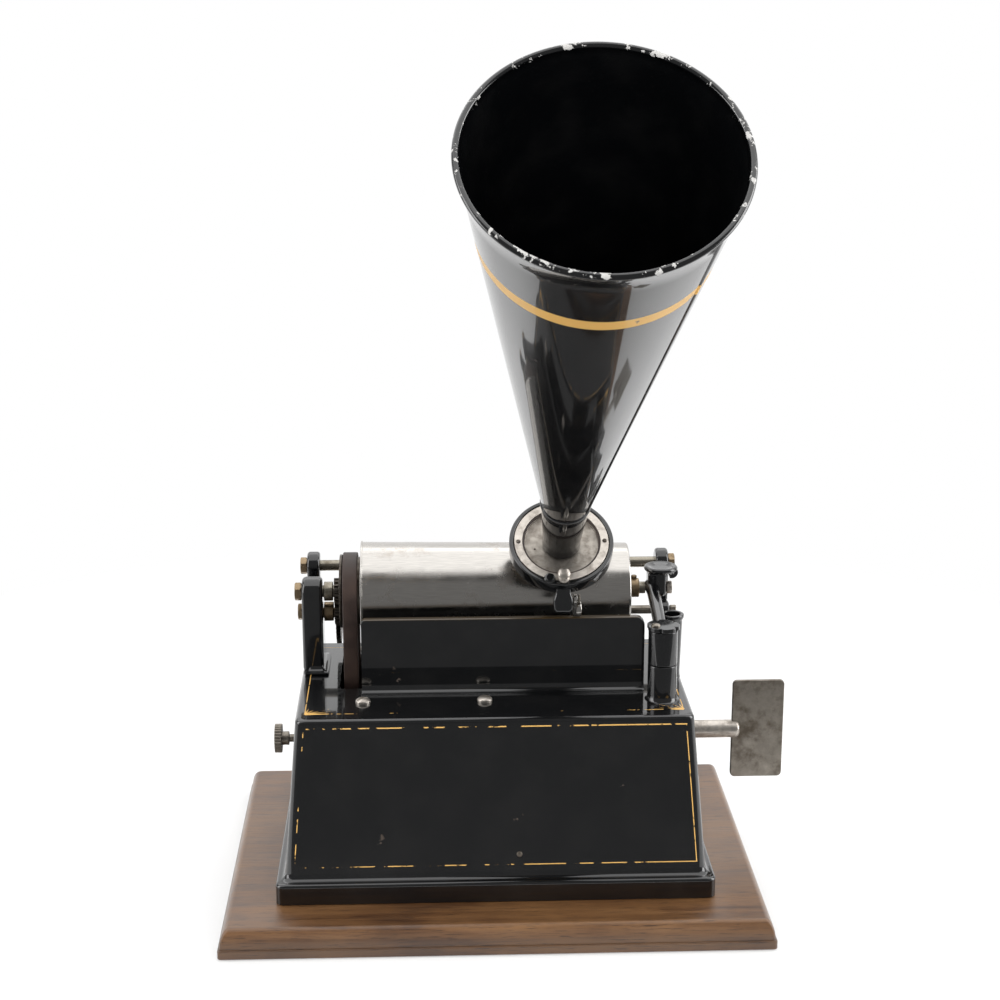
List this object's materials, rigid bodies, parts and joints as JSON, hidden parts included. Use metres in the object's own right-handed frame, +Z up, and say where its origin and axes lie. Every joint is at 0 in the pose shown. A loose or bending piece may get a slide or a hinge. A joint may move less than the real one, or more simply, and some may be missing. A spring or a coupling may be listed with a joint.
{
  "type": "cylinder phonograph",
  "caption": "Spring-driven cylinder phonograph: black enamelled case with apron, nickel mandrel, belt drive, feed screw, hinged reproducer carriage, end gate, straight conical horn, oak board.",
  "frame": {"origin": "centre of the wooden board's underside", "axes": "X right along the mandrel, Y back away from the viewer, Z up"},
  "size_m": [0.2608, 0.323, 0.3905],
  "materials": {
    "black_enamel": "glossy black japanned enamel, worn at its edges",
    "polished_nickel": "nickel plate, bright with light rubbing",
    "aged_nickel": "nickel plate gone warm and dull, brown where it is worn through",
    "brass": "plain machined brass",
    "bronze": "dark toned bronze",
    "motor_steel": "oiled bare steel",
    "oak": "dark varnished oak, rubbed to orange brown on the moulding",
    "belt_leather": "dark brown leather belt",
    "mica": "pale diaphragm disc"
  },
  "bodies": {
    "stand": {"base_board": "oak", "wood_screw_1": "motor_steel", "wood_screw_2": "motor_steel", "wood_screw_3": "motor_steel", "wood_screw_4": "motor_steel", "case_casting": "black_enamel", "deck_screw_1": "aged_nickel", "deck_screw_2": "aged_nickel", "deck_screw_3": "aged_nickel", "deck_screw_4": "aged_nickel", "front_rivet": "aged_nickel", "bearing_bracket": "black_enamel", "bearing_nut": "brass", "idler_stud": "brass", "rod_standard_left": "black_enamel", "rod_standard_right": "black_enamel", "back_rod": "aged_nickel", "feed_pivot_screw": "aged_nickel", "drive_belt": "belt_leather", "motor_plate_left": "motor_steel", "motor_plate_right": "motor_steel", "motor_pillar_1": "motor_steel", "motor_pillar_2": "motor_steel", "motor_pillar_3": "motor_steel", "click_pawl": "motor_steel"},
    "mandrel_set": {"mandrel": "polished_nickel", "mandrel_shaft": "motor_steel", "mandrel_pulley": "aged_nickel", "mandrel_gear": "motor_steel", "mandrel_collar": "aged_nickel"},
    "idler": {"idler_gear": "motor_steel"},
    "feed": {"feed_gear": "aged_nickel", "feed_screw": "aged_nickel"},
    "gate": {"end_gate": "black_enamel", "gate_hinge_cap": "bronze", "gate_centre_pin": "polished_nickel"},
    "carriage": {"carriage_sleeve": "aged_nickel", "feed_arm": "aged_nickel"},
    "carrier": {"carrier_arm": "black_enamel", "reproducer_body": "aged_nickel", "retaining_ring": "polished_nickel", "diaphragm": "mica", "stop_post": "polished_nickel"},
    "lever": {"lift_lever": "aged_nickel"},
    "weight": {"floating_weight": "brass"},
    "horn_set": {"horn_collar": "black_enamel", "horn": "black_enamel"},
    "winding": {"winding_key": "aged_nickel", "winding_arbor": "motor_steel", "ratchet_wheel": "motor_steel"},
    "barrel": {"spring_barrel": "brass", "barrel_cover": "motor_steel", "great_wheel": "brass", "mainspring": "motor_steel"},
    "second": {"second_arbor": "motor_steel"},
    "drive": {"drive_arbor": "motor_steel", "drive_pulley": "aged_nickel"},
    "governor": {"governor_arbor": "motor_steel"},
    "speed": {"speed_screw": "aged_nickel"},
    "brake": {"brake_lever": "motor_steel"}
  },
  "joints": [
    {"name": "mandrel_spin", "type": "hinge", "parent": "stand", "child": "mandrel_set", "pos_m": [0, 0.015, 0.1337], "axis": [1, 0, 0], "continuous": true},
    {"name": "idler_spin", "type": "hinge", "parent": "stand", "child": "idler", "pos_m": [-0.0722, 0.01775, 0.12284], "axis": [1, 0, 0], "continuous": true},
    {"name": "feed_spin", "type": "hinge", "parent": "stand", "child": "feed", "pos_m": [0, 0.036, 0.1157], "axis": [1, 0, 0], "continuous": true},
    {"name": "drive_spin", "type": "hinge", "parent": "stand", "child": "drive", "pos_m": [-0.03, 0.015, 0.0497], "axis": [1, 0, 0], "continuous": true},
    {"name": "second_spin", "type": "hinge", "parent": "stand", "child": "second", "pos_m": [-0.03, 0.0259, 0.06551], "axis": [1, 0, 0], "continuous": true},
    {"name": "barrel_spin", "type": "hinge", "parent": "stand", "child": "barrel", "pos_m": [-0.03, 0, 0.0678], "axis": [1, 0, 0], "continuous": true},
    {"name": "governor_spin", "type": "hinge", "parent": "stand", "child": "governor", "pos_m": [-0.03, 0.0078, 0.03723], "axis": [1, 0, 0], "continuous": true},
    {"name": "key_turn", "type": "hinge", "parent": "stand", "child": "winding", "pos_m": [0.1, 0, 0.0678], "axis": [1, 0, 0], "continuous": true},
    {"name": "gate_swing", "type": "hinge", "parent": "stand", "child": "gate", "pos_m": [0.0764, -0.0305, 0.12], "axis": [0, 0, -1], "range_deg": [0, 95]},
    {"name": "carriage_slide", "type": "slide", "parent": "stand", "child": "carriage", "axis": [1, 0, 0], "range_m": [-0.08, 0.016]},
    {"name": "carrier_lift", "type": "hinge", "parent": "carriage", "child": "carrier", "pos_m": [0.0316, 0.047, 0.1365], "axis": [-1, 0, 0], "range_deg": [0, 70]},
    {"name": "lever_turn", "type": "hinge", "parent": "carrier", "child": "lever", "pos_m": [0.038, -0.02275, 0.1406], "axis": [1, 0, 0], "range_deg": [0, 60]},
    {"name": "weight_float", "type": "hinge", "parent": "carrier", "child": "weight", "pos_m": [0.0316, 0.00867, 0.16949], "axis": [1, 0, 0], "range_deg": [0, 3]},
    {"name": "horn_swivel", "type": "hinge", "parent": "carrier", "child": "horn_set", "pos_m": [0.0316, -0.01131, 0.16618], "axis": [0, -0.6293, 0.7771], "range_deg": [-25, 25]},
    {"name": "speed_turn", "type": "hinge", "parent": "stand", "child": "speed", "pos_m": [-0.0985, -0.008, 0.0695], "axis": [1, 0, 0], "range_deg": [0, 360]},
    {"name": "brake_swing", "type": "hinge", "parent": "stand", "child": "brake", "pos_m": [-0.0532, -0.008, 0.084], "axis": [0, 1, 0], "range_deg": [0, 1.4]}
  ],
  "couplings": [
    {"joint": "idler_spin", "follows": "mandrel_spin", "ratio": -1},
    {"joint": "feed_spin", "follows": "mandrel_spin", "ratio": 0.4},
    {"joint": "drive_spin", "follows": "mandrel_spin", "ratio": 1.4082},
    {"joint": "second_spin", "follows": "mandrel_spin", "ratio": -0.4694},
    {"joint": "barrel_spin", "follows": "mandrel_spin", "ratio": 0.1408},
    {"joint": "governor_spin", "follows": "mandrel_spin", "ratio": -4.2245},
    {"joint": "brake_swing", "follows": "speed_turn", "ratio": 0.00389}
  ]
}
